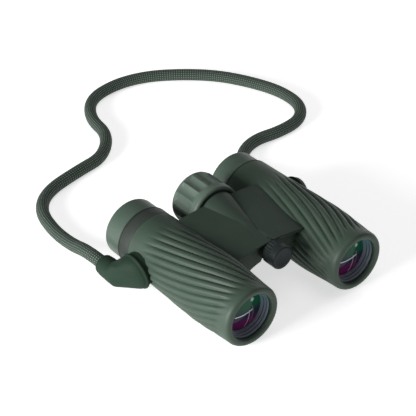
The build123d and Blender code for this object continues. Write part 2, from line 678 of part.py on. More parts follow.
def eyecup(side):
    """Twist-up eyecup: a grooved alloy sleeve in a rubber cup, and the keyed click ring."""
    centre = BARRELS[side]
    groove_r = CUP_SHELL - CUP_WALL
    band_end = DETENT_Y + DETENT + CUP_BAND
    front = SEAM_Y + SEAM
    sleeve = turned(centre, [
        (CUP_BORE, front), (CUP_SHELL, front), (CUP_SHELL, SLEEVE_END_Y),
        (groove_r, SLEEVE_END_Y), (groove_r, band_end), (CUP_BORE, band_end),
        (CUP_BORE, DETENT_Y + DETENT + GAP),
        (groove_r, DETENT_Y + DETENT + GAP), (groove_r, DETENT_Y - GAP),
        (CUP_BORE, DETENT_Y - GAP),
    ])
    save(sleeve, f"{side}_eyecup_sleeve")
    with BuildPart() as cup:
        with BuildSketch(lengthwise(centre)):
            with BuildLine():
                Polyline(
                    (CUP_SHELL + GAP, front), (EYECUP_R, front), (EYECUP_R, REAR),
                    (EYECUP_LIP_BORE, REAR), (EYECUP_LIP_BORE, REAR - EYECUP_LIP),
                    (CUP_SHELL + GAP, REAR - EYECUP_LIP), close=True)
            make_face()
        revolve(axis=axis_of(centre))
        rim = cup.edges().filter_by(GeomType.CIRCLE).group_by(Axis.Y)[-1]
        fillet(rim.sort_by(SortBy.RADIUS)[-1], radius=EYECUP_FILLET)
        rim = cup.edges().filter_by(GeomType.CIRCLE).group_by(Axis.Y)[-1]
        fillet(rim.sort_by(SortBy.RADIUS)[0], radius=EYECUP_LIP / 2)
    save(cup, f"{side}_eyecup")
    with BuildPart() as click_ring:
        add(ring(centre, CUP_BORE, groove_r - RUN, DETENT_Y, DETENT_Y + DETENT).part)
        with BuildSketch(across(centre, DETENT_Y, 0, 1)):
            with Locations(((CUP_BORE + groove_r) / 2, 0)):
                Rectangle(2 * (groove_r - CUP_BORE), KEY_SLOT)
        extrude(amount=DETENT, mode=Mode.SUBTRACT)
    save(click_ring, f"{side}_eyecup_click_ring")


def focus_pieces(side):
    """Focusing lens, its cell, and the arm whose finger reaches forward to the cell."""
    centre = BARRELS[side]
    cell_y = FRONT + FOCUS_CELL_AT
    bore = FINGER_INNER - FOCUS_CELL_WALL
    cell = ring(centre, bore, TUBE_BORE - RUN, cell_y, cell_y + FOCUS_CELL)
    save(cell, f"{side}_focus_cell")
    glass = lens(centre, bore - GAP, cell_y + FOCUS_LENS_AT[0], cell_y + FOCUS_LENS_AT[1],
                 *FOCUS_LENS_BULGE)
    save(glass, f"{side}_focus_lens")
    arm_front = ARM_Y[side] - ARM_THICK / 2
    finger_in = ARM_LENGTH - FINGER_OUTER
    finger_out = ARM_LENGTH - FINGER_INNER
    finger_front = cell_y + FOCUS_CELL + GAP
    with BuildPart() as arm:
        add(ring(HINGE, HUB_R + RUN, ARM_RING_R, arm_front, arm_front + ARM_THICK).part)
        with BuildSketch(across(HINGE, arm_front, ARM_DIP, TOWARD[side])):
            start = (HUB_R + ARM_RING_R) / 2
            with Locations(((start + finger_out) / 2, 0)):
                Rectangle(finger_out - start, 2 * ARM_HALF_HEIGHT)
        extrude(amount=ARM_THICK)
        add(solid_cylinder(HINGE, HUB_R + RUN, arm_front, arm_front + ARM_THICK),
            mode=Mode.SUBTRACT)
        with BuildSketch(across(HINGE, finger_front, ARM_DIP, TOWARD[side])):
            with Locations(((finger_in + finger_out) / 2, 0)):
                Rectangle(finger_out - finger_in, 2 * FINGER_HALF_WIDTH)
        extrude(amount=arm_front + ARM_THICK - finger_front)
    save(arm, f"{side}_focus_arm")


def strap_connector(side):
    """Moulded elbow: a round flange against the lug, bent into a sleeve for the strap."""
    centre = BARRELS[side]
    toward = TOWARD[side]
    tilt = radians(LUG_TILT)
    flange_out = LUG_FACE + GAP
    body_out = flange_out + FLANGE_THICK
    up = -SLEEVE_DROP
    axis_x = centre[0] + toward * (SLEEVE_OUT * cos(tilt) + up * sin(tilt))
    axis_z = centre[1] - SLEEVE_OUT * sin(tilt) + up * cos(tilt)
    end_y = REAR - SLEEVE_END
    plain_y = [LUG_Y + place for place in SLEEVE_PLAIN]
    with BuildPart() as piece:
        with BuildSketch(lug_plane(side, flange_out)):
            Circle(FLANGE_RADIUS)
        extrude(amount=FLANGE_THICK)
        fillet(piece.edges().filter_by(GeomType.CIRCLE), radius=FLANGE_EDGE * FLANGE_THICK)
        with BuildSketch(lug_plane(side, body_out - ELBOW_SINK)):
            Circle(FLANGE_RADIUS - ELBOW_INSET[0])
        with BuildSketch(lug_plane(side, SLEEVE_OUT, ELBOW_SHIFT[0], up / 2)):
            Circle(FLANGE_RADIUS - ELBOW_INSET[1])
        with BuildSketch(lug_plane(side, SLEEVE_OUT + SLEEVE_R - ELBOW_TOP[0], ELBOW_SHIFT[1], up)):
            Circle(SLEEVE_R - ELBOW_TOP[1])
        loft()
        with BuildSketch(Plane(origin=(axis_x, 0, axis_z))):
            with BuildLine():
                Polyline((0, plain_y[0]), (SLEEVE_R, plain_y[0]), (SLEEVE_R, plain_y[1]),
                         (SLEEVE_END_R, end_y), (0, end_y), close=True)
            make_face()
        revolve(axis=axis_of((axis_x, axis_z)))
    save(piece, f"{side}_strap_connector")
    return axis_x, end_y, axis_z


for side in ("right", "left"):
    barrel(side)
    ocular(side)
    eyecup(side)
    focus_pieces(side)
CORD_ENDS = [strap_connector(side) for side in ("right", "left")]

# Diopter ring on the right barrel only
diopter_front = ARMOUR_END["right"] + SLIT
diopter_r = TUBE_R + ARMOUR_REAR_WALL
diopter_ring = ring(BARRELS["right"], TUBE_R + RUN, diopter_r, diopter_front, SEAM_Y - SLIT)
save(diopter_ring, "diopter_ring")


# Hinge shaft, focus carriage, screw and wheel
WHEEL_END_Y = REAR - WHEEL_FROM_REAR
WHEEL_Y = WHEEL_END_Y - WHEEL_LENGTH
SHAFT_END_Y = WHEEL_END_Y - SHAFT_SETBACK

hinge_shaft = turned(HINGE, [(0, SOCKET_END_Y + 1), (SHAFT_R, SOCKET_END_Y + 1),
                             (SHAFT_R, SHAFT_END_Y), (0, SHAFT_END_Y)])
save(hinge_shaft, "hinge_shaft")

hub_half = ARM_THICK + 2 * GAP
focus_carriage = turned(HINGE, [
    (SCREW_R + RUN, HUB_Y - hub_half - FLANGE), (FLANGE_R, HUB_Y - hub_half - FLANGE),
    (FLANGE_R, HUB_Y - hub_half), (HUB_R, HUB_Y - hub_half), (HUB_R, HUB_Y + hub_half),
    (FLANGE_R, HUB_Y + hub_half), (FLANGE_R, HUB_Y + hub_half + FLANGE),
    (SCREW_R + RUN, HUB_Y + hub_half + FLANGE),
])
save(focus_carriage, "focus_carriage")

HUB_DISC_R = WHEEL_R - WHEEL_GRIP
HUB_DISC_Y = WHEEL_Y + WHEEL_HOLLOW
focus_screw = ring(HINGE, SHAFT_R + RUN, SCREW_R, CAVITY_Y + GAP, HUB_DISC_Y - GAP)
save(focus_screw, "focus_screw")

neck_bore = SCREW_R + 2 * RUN
focus_collar = turned(HINGE, [
    (neck_bore, BRIDGE_END_Y + GAP), (COLLAR_R, BRIDGE_END_Y + GAP), (COLLAR_R, WHEEL_Y + COLLAR_LAP),
    (neck_bore, WHEEL_Y + COLLAR_LAP),
])
save(focus_collar, "focus_collar")

grip_end = WHEEL_END_Y - GRIP_TURN_IN
cap_seat = WHEEL_END_Y - WHEEL_CAP_SEAT
cap_wall_r = WHEEL_CAP_R + WHEEL_CAP_WALL
focus_wheel = turned(HINGE, [
    (HUB_DISC_R - WHEEL_WALL, WHEEL_Y), (HUB_DISC_R, WHEEL_Y), (HUB_DISC_R, grip_end),
    (cap_wall_r, grip_end), (cap_wall_r, WHEEL_END_Y - CAP_WALL_SETBACK),
    (WHEEL_CAP_R + GAP, WHEEL_END_Y - CAP_WALL_SETBACK), (WHEEL_CAP_R + GAP, cap_seat),
    (SHAFT_R + RUN, cap_seat), (SHAFT_R + RUN, HUB_DISC_Y),
    (HUB_DISC_R - WHEEL_WALL, HUB_DISC_Y),
])
save(focus_wheel, "focus_wheel")

edge_y, shoulder_y, middle_y = [WHEEL_END_Y - depth for depth in WHEEL_CAP_DOME]
focus_wheel_cap = turned(HINGE, [
    (0, cap_seat + SLIT), (WHEEL_CAP_R, cap_seat + SLIT), (WHEEL_CAP_R, edge_y),
    (WHEEL_CAP_R - WHEEL_CAP_BEVEL, shoulder_y), (0, middle_y),
])
save(focus_wheel_cap, "focus_wheel_cap")

with BuildPart() as focus_wheel_grip:
    with BuildSketch(lengthwise(HINGE)):
        with BuildLine():
            Polyline(
                (HUB_DISC_R + GAP, WHEEL_Y), (WHEEL_R, WHEEL_Y), (WHEEL_R, WHEEL_END_Y),
                (cap_wall_r + SLIT, WHEEL_END_Y), (cap_wall_r + SLIT, grip_end + SLIT),
                (HUB_DISC_R + GAP, grip_end + SLIT), close=True)
        make_face()
    revolve(axis=axis_of(HINGE))
    shoulder = focus_wheel_grip.edges().filter_by(GeomType.CIRCLE).group_by(Axis.Y)[-1]
    fillet(shoulder.sort_by(SortBy.RADIUS)[-1], radius=WHEEL_SHOULDER)
    front_rim = focus_wheel_grip.edges().filter_by(GeomType.CIRCLE).group_by(Axis.Y)[0]
    fillet(front_rim.sort_by(SortBy.RADIUS)[-1], radius=WHEEL_FRONT_FILLET)
    flute_y = WHEEL_Y + WHEEL_RIM
    with BuildSketch(Plane(origin=(0, flute_y, HINGE_Z), x_dir=(1, 0, 0), z_dir=(0, 1, 0))):
        with PolarLocations(WHEEL_R + FLUTE_R - FLUTE_DEPTH, FLUTES):
            Circle(FLUTE_R)
    extrude(amount=WHEEL_LENGTH, mode=Mode.SUBTRACT)
save(focus_wheel_grip, "focus_wheel_grip")

# Tripod socket, and the cap that screws into it
tripod_socket = ring(HINGE, SOCKET_R, SOCKET_R + SOCKET_WALL, KNUCKLE_Y + SLIT,
                     SOCKET_END_Y - SLIT)
save(tripod_socket, "tripod_socket")

CAP_END_Y = KNUCKLE_Y - CAP_WASHER - 2 * GAP
tripod_cap_washer = ring(HINGE, SOCKET_R + RUN, WASHER_R, CAP_END_Y + GAP, KNUCKLE_Y - GAP)
save(tripod_cap_washer, "tripod_cap_washer")

with BuildPart() as tripod_cap:
    with BuildSketch(lengthwise(HINGE)):
        with BuildLine():
            Polyline((0, CAP_END_Y - CAP_LENGTH), (CAP_R, CAP_END_Y - CAP_LENGTH),
                     (CAP_R, CAP_END_Y), (0, CAP_END_Y), close=True)
        make_face()
    revolve(axis=axis_of(HINGE))
    fillet(tripod_cap.edges().filter_by(GeomType.CIRCLE).group_by(Axis.Y)[0],
           radius=CAP_FILLET)
    with BuildSketch(Plane(origin=(0, CAP_END_Y, HINGE_Z), x_dir=(1, 0, 0), z_dir=(0, -1, 0))):
        with PolarLocations(CAP_R, CAP_RIBS):
            Rectangle(*CAP_GROOVE)
    extrude(amount=CAP_GRIP, mode=Mode.SUBTRACT)
    with BuildSketch(Plane(origin=(0, CAP_END_Y, HINGE_Z), x_dir=(1, 0, 0), z_dir=(0, 1, 0))):
        Circle(SOCKET_R - RUN)
    extrude(amount=SOCKET_DEPTH)
save(tripod_cap, "tripod_cap")

# Strap: one braided cord from the right connector round to the left one, on the surface
right_exit, left_exit = CORD_ENDS
REST = CORD_R + 0.05
ROUTE = [
    (right_exit[0], right_exit[1] + GAP, right_exit[2]),
    (right_exit[0], 59, right_exit[2]), (-61, 77, REST), (-61.5, 95, REST),
    (-56.5, 117, REST), (-42, 131.5, REST), (-14, 138, REST), (6, 141, REST),
    (23.5, 160, REST), (26, 183, REST), (40, 203, REST), (64, 208.5, REST),
    (87, 203.5, REST), (107.5, 189.5, REST), (124, 173, REST), (135, 153, REST),
    (142.5, 131, REST), (141.3, 109, REST), (128.4, 95, REST), (108.5, 92.7, REST),
    (91, 95.5, REST), (75, 89.5, REST), (64.5, 75.5, REST), (left_exit[0], 59, left_exit[2]),
    (left_exit[0], left_exit[1] + GAP, left_exit[2]),
]


def bend_radii(points):
    """An arc at every inner point, as large as the shorter of its two runs allows."""
    radii = []
    for before, here, after in zip(points, points[1:], points[2:]):
        first = Vector(here) - Vector(before)
        second = Vector(after) - Vector(here)
        half_turn = radians(first.get_angle(second)) / 2
        radii.append(0.45 * min(first.length, second.length) / tan(half_turn))
    return radii


RADII = bend_radii(ROUTE)
with BuildPart() as strap_cord:
    with BuildLine() as path:
        line = FilletPolyline(*ROUTE, radius=RADII)
    with BuildSketch(Plane(origin=line @ 0, z_dir=line % 0)):
        Circle(CORD_R)
    sweep()
save(strap_cord, "strap_cord")

cord_length = line.length
print("strap bend radii:", [round(radius, 1) for radius in RADII])
print(f"strap length {cord_length:.1f}, volume {strap_cord.part.volume:.0f}, "
      f"section times length {pi * CORD_R ** 2 * cord_length:.0f}")
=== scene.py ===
"""Compact roof-prism binoculars with twisted ribs, a centre hinge and a braided strap.

Metres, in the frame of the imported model: +Z is up, +Y runs from the objectives to the eyepieces,
and the user's right barrel is on the -X side.
"""
import json
from math import atan2, cos, hypot, pi, radians, sin

import bmesh
import bpy
from mathutils import Matrix, Vector


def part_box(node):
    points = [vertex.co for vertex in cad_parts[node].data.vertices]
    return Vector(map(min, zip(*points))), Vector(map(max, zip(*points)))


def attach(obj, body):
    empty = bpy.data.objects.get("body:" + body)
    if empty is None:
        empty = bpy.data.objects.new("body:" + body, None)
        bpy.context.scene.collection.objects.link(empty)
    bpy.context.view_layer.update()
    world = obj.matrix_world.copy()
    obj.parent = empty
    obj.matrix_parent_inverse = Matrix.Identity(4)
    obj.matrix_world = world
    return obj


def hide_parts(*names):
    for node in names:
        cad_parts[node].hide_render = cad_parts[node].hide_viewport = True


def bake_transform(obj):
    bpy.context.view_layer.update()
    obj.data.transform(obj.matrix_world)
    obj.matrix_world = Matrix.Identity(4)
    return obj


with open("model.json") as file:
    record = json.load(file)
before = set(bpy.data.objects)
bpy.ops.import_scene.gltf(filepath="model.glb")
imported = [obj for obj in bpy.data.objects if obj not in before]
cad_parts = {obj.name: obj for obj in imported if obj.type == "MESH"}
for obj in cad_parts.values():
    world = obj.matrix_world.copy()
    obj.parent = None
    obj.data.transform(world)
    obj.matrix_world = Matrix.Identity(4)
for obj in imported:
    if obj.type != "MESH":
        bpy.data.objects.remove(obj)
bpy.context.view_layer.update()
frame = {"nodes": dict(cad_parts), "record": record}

# Camera: a long lens in front of the pair, to the user's right and well above it, with a
# slight roll. The view point lies a little behind and below the middle of the barrels.
azimuth, elevation, roll = radians(-38.318), radians(34.882), radians(-0.981)
toward_camera = Vector((sin(azimuth) * cos(elevation), -cos(azimuth) * cos(elevation),
                        sin(elevation)))
level_right = Vector((cos(azimuth), sin(azimuth), 0))
level_up = toward_camera.cross(level_right)
view_right = cos(roll) * level_right + sin(roll) * level_up
view_up = cos(roll) * level_up - sin(roll) * level_right
view_point = Vector((0, 0, 0.01943)) - 0.018555 * view_right + 0.019615 * view_up
distance = 0.82368
camera_data = bpy.data.cameras.new("camera")
camera_data.lens = 129.49
camera_data.sensor_width = 36.0
camera_data.clip_end = 20.0
camera = bpy.data.objects.new("camera", camera_data)
turn = Matrix((view_right, view_up, toward_camera)).transposed()
camera.matrix_world = Matrix.Translation(view_point + distance * toward_camera) @ turn.to_4x4()
bpy.context.scene.collection.objects.link(camera)
bpy.context.scene.camera = camera
bpy.context.scene.view_settings.view_transform = "Standard"


# Strap: one round cord, a core in a braided jacket with a lighter fleck at every other crossing.
# It is limp, leaves the right connector straight, drops to the surface, and lies there in loose
# curves until it goes up into the left connector.
cord_radius = 0.00385
rest = cord_radius + 0.00005
route = [
    (-0.06244, 0.04505, 0.01029), (-0.06244, 0.059, 0.01029), (-0.061, 0.077, rest),
    (-0.0615, 0.095, rest), (-0.0565, 0.117, rest), (-0.042, 0.1315, rest),
    (-0.014, 0.138, rest), (0.006, 0.141, rest), (0.0235, 0.160, rest), (0.026, 0.183, rest),
    (0.040, 0.203, rest), (0.064, 0.2085, rest), (0.087, 0.2035, rest),
    (0.1075, 0.1895, rest), (0.124, 0.173, rest), (0.135, 0.153, rest),
    (0.1425, 0.131, rest), (0.1413, 0.109, rest), (0.1284, 0.095, rest),
    (0.1085, 0.0927, rest), (0.091, 0.0955, rest), (0.075, 0.0895, rest),
    (0.0645, 0.0755, rest), (0.06244, 0.059, 0.01029), (0.06244, 0.04505, 0.01029),
]
line = bpy.data.curves.new("strap_line", "CURVE")
line.dimensions = "3D"
line.resolution_u = 36
spline = line.splines.new("NURBS")
spline.points.add(len(route) - 1)
for control, place in zip(spline.points, route):
    control.co = (*place, 1)
spline.order_u = 3
spline.use_endpoint_u = True
line_object = bpy.data.objects.new("strap_line", line)
bpy.context.scene.collection.objects.link(line_object)
followed = bpy.data.meshes.new_from_object(line_object)
cord_path = [vertex.co.copy() for vertex in followed.vertices]
bpy.data.objects.remove(line_object)
bpy.data.meshes.remove(followed)
cord_length = sum((b - a).length for a, b in zip(cord_path, cord_path[1:]))


def new_piece(name, mesh_maker, body, slot, *stands_for):
    """Put a finished bmesh on stage as a piece that rides on a body."""
    data = bpy.data.meshes.new(name)
    mesh_maker.to_mesh(data)
    mesh_maker.free()
    for polygon in data.polygons:
        polygon.use_smooth = True
    piece = bpy.data.objects.new(name, data)
    bpy.context.scene.collection.objects.link(piece)
    if body:
        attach(piece, body)
    if stands_for:
        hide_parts(*stands_for)
    return piece


# the jacket: a grid, one side along the cord and one round it, wrapped and closed
around = 40
along = len(cord_path) - 1
cord = bmesh.new()
cord.loops.layers.uv.new("UVMap")
bmesh.ops.create_grid(cord, x_segments=along, y_segments=around, size=1.0, calc_uvs=True)
for vertex in cord.verts:
    step = round((vertex.co.x + 1) / 2 * along)
    angle = -pi * (vertex.co.y + 1)
    before = cord_path[max(step - 1, 0)]
    after = cord_path[min(step + 1, along)]
    ahead = (after - before).normalized()
    aside = ahead.cross(Vector((0, 0, 1))).normalized()
    above = aside.cross(ahead)
    vertex.co = cord_path[step] + cord_radius * (cos(angle) * aside + sin(angle) * above)
bmesh.ops.remove_doubles(cord, verts=cord.verts, dist=1e-6)
bmesh.ops.holes_fill(cord, edges=[edge for edge in cord.edges if edge.is_boundary], sides=0)
strap_cord = new_piece("braided_strap", cord, None, "braided_cord", "strap_cord")
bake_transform(strap_cord)


def add_node(tree, kind, **settings):
    """A shader node with its settings; sockets are given by name in a dict called inputs."""
    node = tree.nodes.new(kind)
    for name, value in settings.pop("inputs", {}).items():
        node.inputs[name].default_value = value
    for name, value in settings.items():
        setattr(node, name, value)
    return node


def new_material(name, roughness, specular=0.5):
    """An empty node material: returns it, its tree and its shader."""
    material = bpy.data.materials.new(name)
    material.use_nodes = True
    tree = material.node_tree
    shader = tree.nodes["Principled BSDF"]
    shader.inputs["Roughness"].default_value = roughness
    shader.inputs["Specular IOR Level"].default_value = specular
    return material, tree, shader


# braid: a lattice of diamonds on the jacket's own map
braid, tree, shader = new_material("braided_jacket", 0.8, 0.3)
strands_round = 18.0
rows = cord_length / 0.00142               # one row of diamonds to each of these lengths
jacket_map = add_node(tree, "ShaderNodeUVMap", uv_map="UVMap")
apart = add_node(tree, "ShaderNodeSeparateXYZ")
tree.links.new(jacket_map.outputs[0], apart.inputs[0])
down_cord = add_node(tree, "ShaderNodeMath", operation="MULTIPLY", inputs={1: rows})
round_cord = add_node(tree, "ShaderNodeMath", operation="MULTIPLY",
                      inputs={1: strands_round})
tree.links.new(apart.outputs["X"], down_cord.inputs[0])
tree.links.new(apart.outputs["Y"], round_cord.inputs[0])
strands = []
for operation in ("ADD", "SUBTRACT"):
    strand = add_node(tree, "ShaderNodeMath", operation=operation)
    tree.links.new(down_cord.outputs[0], strand.inputs[0])
    tree.links.new(round_cord.outputs[0], strand.inputs[1])
    strands.append(strand)
waves = []
for strand in strands:
    turned_phase = add_node(tree, "ShaderNodeMath", operation="MULTIPLY", inputs={1: pi})
    wave = add_node(tree, "ShaderNodeMath", operation="SINE")
    tree.links.new(strand.outputs[0], turned_phase.inputs[0])
    tree.links.new(turned_phase.outputs[0], wave.inputs[0])
    waves.append(wave)
crossing = add_node(tree, "ShaderNodeMath", operation="MULTIPLY")
tree.links.new(waves[0].outputs[0], crossing.inputs[0])
tree.links.new(waves[1].outputs[0], crossing.inputs[1])
fleck = add_node(tree, "ShaderNodeMapRange", interpolation_type="SMOOTHSTEP",
                 inputs={"From Min": 0.45, "From Max": 0.85})
tree.links.new(crossing.outputs[0], fleck.inputs["Value"])
lump = add_node(tree, "ShaderNodeMath", operation="ABSOLUTE")
tree.links.new(crossing.outputs[0], lump.inputs[0])
yarn = add_node(tree, "ShaderNodeTexNoise", inputs={"Scale": 4000.0, "Detail": 2.0})
object_map = add_node(tree, "ShaderNodeTexCoord")
tree.links.new(object_map.outputs["Object"], yarn.inputs["Vector"])
ground = add_node(tree, "ShaderNodeMix", data_type="RGBA", inputs={
    6: (0.018, 0.030, 0.022, 1), 7: (0.036, 0.054, 0.042, 1)})
tree.links.new(yarn.outputs["Fac"], ground.inputs[0])
jacket = add_node(tree, "ShaderNodeMix", data_type="RGBA", inputs={7: (0.22, 0.28, 0.235, 1)})
tree.links.new(fleck.outputs[0], jacket.inputs[0])
tree.links.new(ground.outputs[2], jacket.inputs[6])
tree.links.new(jacket.outputs[2], shader.inputs["Base Color"])
relief = add_node(tree, "ShaderNodeBump", inputs={"Strength": 0.7, "Distance": 0.0003})
tree.links.new(lump.outputs[0], relief.inputs["Height"])
tree.links.new(relief.outputs[0], shader.inputs["Normal"])
strap_cord.data.materials.append(braid)


# Armour: a rubber sleeve moulded over each barrel tube. Twenty-seven broad ribs wind round it, the
# two barrels mirrored, faster towards the front; the narrow grooves between them fade out before
# both plain ends, and the sleeve turns in over the front of the tube as a soft rim. A narrow seam
# groove runs round just in front of the left eyecup, its floor painted near-black as painted
# shade.
def fine_grain_group():
    """Shader group for a moulded surface: a slow change of tone and a fine grain."""
    group = bpy.data.node_groups.new("moulded_surface", "ShaderNodeTree")
    sockets = group.interface
    for name, value in (("Tone", (0.1, 0.1, 0.1, 1)), ("Worn Tone", (0.12, 0.12, 0.12, 1))):
        socket = sockets.new_socket(name, in_out="INPUT", socket_type="NodeSocketColor")
        socket.default_value = value
    for name, value in (("Grain Scale", 3000.0), ("Cloud Scale", 60.0)):
        socket = sockets.new_socket(name, in_out="INPUT", socket_type="NodeSocketFloat")
        socket.default_value = value
    sockets.new_socket("Color", in_out="OUTPUT", socket_type="NodeSocketColor")
    sockets.new_socket("Height", in_out="OUTPUT", socket_type="NodeSocketFloat")
    entry = group.nodes.new("NodeGroupInput")
    leave = group.nodes.new("NodeGroupOutput")
    place = group.nodes.new("ShaderNodeTexCoord")
    cloud = add_node(group, "ShaderNodeTexNoise", inputs={"Detail": 4.0, "Roughness": 0.6})
    grain = add_node(group, "ShaderNodeTexNoise", inputs={"Detail": 3.0, "Roughness": 0.7})
    for noise, scale in ((cloud, "Cloud Scale"), (grain, "Grain Scale")):
        group.links.new(place.outputs["Object"], noise.inputs["Vector"])
        group.links.new(entry.outputs[scale], noise.inputs["Scale"])
    spread = add_node(group, "ShaderNodeMapRange", inputs={"From Min": 0.35, "From Max": 0.65})
    group.links.new(cloud.outputs["Fac"], spread.inputs["Value"])
    tone = add_node(group, "ShaderNodeMix", data_type="RGBA")
    group.links.new(spread.outputs[0], tone.inputs[0])
    group.links.new(entry.outputs["Tone"], tone.inputs[6])
    group.links.new(entry.outputs["Worn Tone"], tone.inputs[7])
    group.links.new(tone.outputs[2], leave.inputs["Color"])
    group.links.new(grain.outputs["Fac"], leave.inputs["Height"])
    return group


moulded_surface = fine_grain_group()


def moulded(name, tone, roughness, specular=0.5, spread=1.12, grain=3000.0, depth=0.00002,
            metallic=0.0):
    """A procedural material for a moulded, coated or machined surface, with painted shade in its
    seams.
    """
    material, tree, shader = new_material(name, roughness, specular)
    surface = tree.nodes.new("ShaderNodeGroup")
    surface.node_tree = moulded_surface
    surface.inputs["Tone"].default_value = (*tone, 1)
    surface.inputs["Worn Tone"].default_value = (*(spread * part for part in tone), 1)
    surface.inputs["Grain Scale"].default_value = grain
    shader.inputs["Metallic"].default_value = metallic
    grain_bump = add_node(tree, "ShaderNodeBump", inputs={"Strength": 0.5, "Distance": depth})
    # painted shade: the marked seam faces are coloured near-black
    seam_shade = add_node(tree, "ShaderNodeAttribute", attribute_name="seam_shade")
    shade = add_node(tree, "ShaderNodeMix", data_type="RGBA",
                     inputs={7: (0.002, 0.003, 0.002, 1)})
    tree.links.new(seam_shade.outputs["Fac"], shade.inputs[0])
    tree.links.new(surface.outputs["Color"], shade.inputs[6])
    tree.links.new(shade.outputs[2], shader.inputs["Base Color"])
    tree.links.new(surface.outputs["Height"], grain_bump.inputs["Height"])
    tree.links.new(grain_bump.outputs[0], shader.inputs["Normal"])
    return material


armour_rubber = moulded("armour_rubber", (0.037, 0.060, 0.043), 0.52, 0.3)


def eased(corners, steps=7):
    """A closed outline of (radius, y) points from (radius, y, ease) corners, each rounded off."""
    outline = []
    for k, (radius, y, ease) in enumerate(corners):
        here = Vector((radius, y))
        if not ease:
            outline.append(here)
            continue
        before = Vector(corners[k - 1][:2]) - here
        after = Vector(corners[(k + 1) % len(corners)][:2]) - here
        start = here + ease * before.normalized()
        end = here + ease * after.normalized()
        for step in range(steps):
            share = step / (steps - 1)
            outline.append((1 - share) ** 2 * start + 2 * share * (1 - share) * here
                           + share ** 2 * end)
    return outline


def turned(outline, centre, steps, closed=True):
    """A bmesh spun from a (radius, y) outline about the lengthwise axis through centre."""
    made = bmesh.new()
    points = [made.verts.new((centre.x + radius, y, centre.z)) for radius, y in outline]
    edges = [made.edges.new(pair) for pair in zip(points, points[1:])]
    if closed:
        edges.append(made.edges.new((points[-1], points[0])))
    bmesh.ops.spin(made, geom=points + edges, cent=centre, axis=(0, 1, 0), angle=2 * pi,
                   steps=steps, use_merge=True)
    bmesh.ops.remove_doubles(made, verts=made.verts, dist=1e-7)
    bmesh.ops.recalc_face_normals(made, faces=made.faces)
    return made


def barrel_axis(side):
    low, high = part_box(f"{side}_eyecup")
    return Vector(((low[0] + high[0]) / 2, 0, (low[2] + high[2]) / 2))


def smooth_share(value, low, high):
    share = min(max((value - low) / (high - low), 0), 1)
    return share * share * (3 - 2 * share)


def armour_radius(y):
    """Crest radius of the armour at y, a smooth line through the widths that it has."""
    stations = [(-0.0535, 0.0175), (-0.0436, 0.01804), (-0.0225, 0.01943), (0.0195, 0.0185),
                (0.0402, 0.01813)]
    slopes = []
    for k, (place, radius) in enumerate(stations):
        ahead = stations[min(k + 1, 4)]
        behind = stations[max(k - 1, 0)]
        slopes.append((ahead[1] - behind[1]) / (ahead[0] - behind[0]))
    slopes[2] = 0.0
    for k in range(4):
        (y0, r0), (y1, r1) = stations[k], stations[k + 1]
        if y <= y1 or k == 3:
            span = y1 - y0
            t = (y - y0) / span
            return (r0 * (1 + 2 * t) * (1 - t) ** 2 + slopes[k] * span * t * (1 - t) ** 2
                    + r1 * t * t * (3 - 2 * t) + slopes[k + 1] * span * t * t * (t - 1))


ribs = 27
first_groove = radians(6.0)
rib_depth = 0.00105
rim_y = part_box("right_armour")[0][1]
wall_inside = 0.01605
seam_front, seam_rear = 0.00115, 0.00055   # a seam's edges, counted from the end of its piece
seam_depth = 0.0004
slow_twist = radians(700)                  # turn of the ribs per metre, in their rear half
twist_reach = 0.0635                       # they wind faster over this length, to the front
twist_length = 0.056                       # length over which the rate doubles


def rib_turn(y):
    """How far a rib has wound round the barrel at y, counted from the front rim."""
    ahead = max(rim_y + twist_reach - y, 0)
    return slow_twist * (y - rim_y + (twist_reach ** 3 - ahead ** 3) / (3 * twist_length ** 2))


for side, mirror in (("right", 1), ("left", -1)):
    centre = barrel_axis(side)
    end_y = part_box(f"{side}_armour")[1][1]
    rim_ease = 0.0022
    stretches = 84
    outer = [(armour_radius(y), y) for y in
             (rim_y + rim_ease + (end_y - rim_y - rim_ease - 0.0002) * k / stretches
              for k in range(stretches + 1))]
    corner_r = armour_radius(rim_y)
    rim = [(corner_r - rim_ease * (1 - cos(a)), rim_y + rim_ease * (1 - sin(a)))
           for a in (radians(10 * k) for k in range(9, 0, -1))]
    mouth_r, mouth_ease = 0.01325, 0.0016
    lip = [(mouth_r + mouth_ease * (1 - cos(a)), rim_y + mouth_ease * (1 - sin(a)))
           for a in (radians(15 * k) for k in range(0, 7))]
    inside = [(wall_inside, end_y), (wall_inside, rim_y + 0.003), (mouth_r, rim_y + 0.003)]
    if side == "left":
        outer = [(radius, y) for radius, y in outer if y < end_y - seam_front]
        outer += [(armour_radius(end_y - back) - sunk, end_y - back) for back, sunk in (
            (seam_front, 0), (seam_front, seam_depth), (seam_rear, seam_depth), (seam_rear, 0),
            (0.0002, 0))]
    outline = lip + rim + outer + [(outer[-1][0] - 0.0002, end_y)] + inside
    sleeve = turned(outline, centre, 16 * ribs)
    # painted shade: mark the seam groove's floor to be coloured near-black
    seam_shade = sleeve.verts.layers.float.new("seam_shade")
    for vertex in sleeve.verts:
        away = vertex.co - centre
        away.y = 0
        if away.length > wall_inside + 0.00035:
            y = vertex.co.y
            angle = atan2(away.z, away.x)
            column = (angle * ribs / (2 * pi)) % 1
            crest = abs(2 * column - 1)
            groove = max(0.0, 1 - 1.25 * crest) ** 1.5
            fade = (smooth_share(y, rim_y + 0.0035, rim_y + 0.0125)
                    * (1 - smooth_share(y, 0.006, 0.0235)))
            radius = away.length - rib_depth * groove * fade
            twisted = angle + first_groove + mirror * rib_turn(y)
            vertex.co.x = centre.x + radius * cos(twisted)
            vertex.co.z = centre.z + radius * sin(twisted)
            sunk = radius < armour_radius(y) - 0.7 * seam_depth
            vertex[seam_shade] = 1.0 if sunk and end_y - 0.0013 < y < end_y - 0.0004 else 0.0
    piece = new_piece(f"{side}_ribbed_armour", sleeve, f"{side}_barrel", "armour_rubber",
                      f"{side}_armour")
    piece.data.materials.append(armour_rubber)


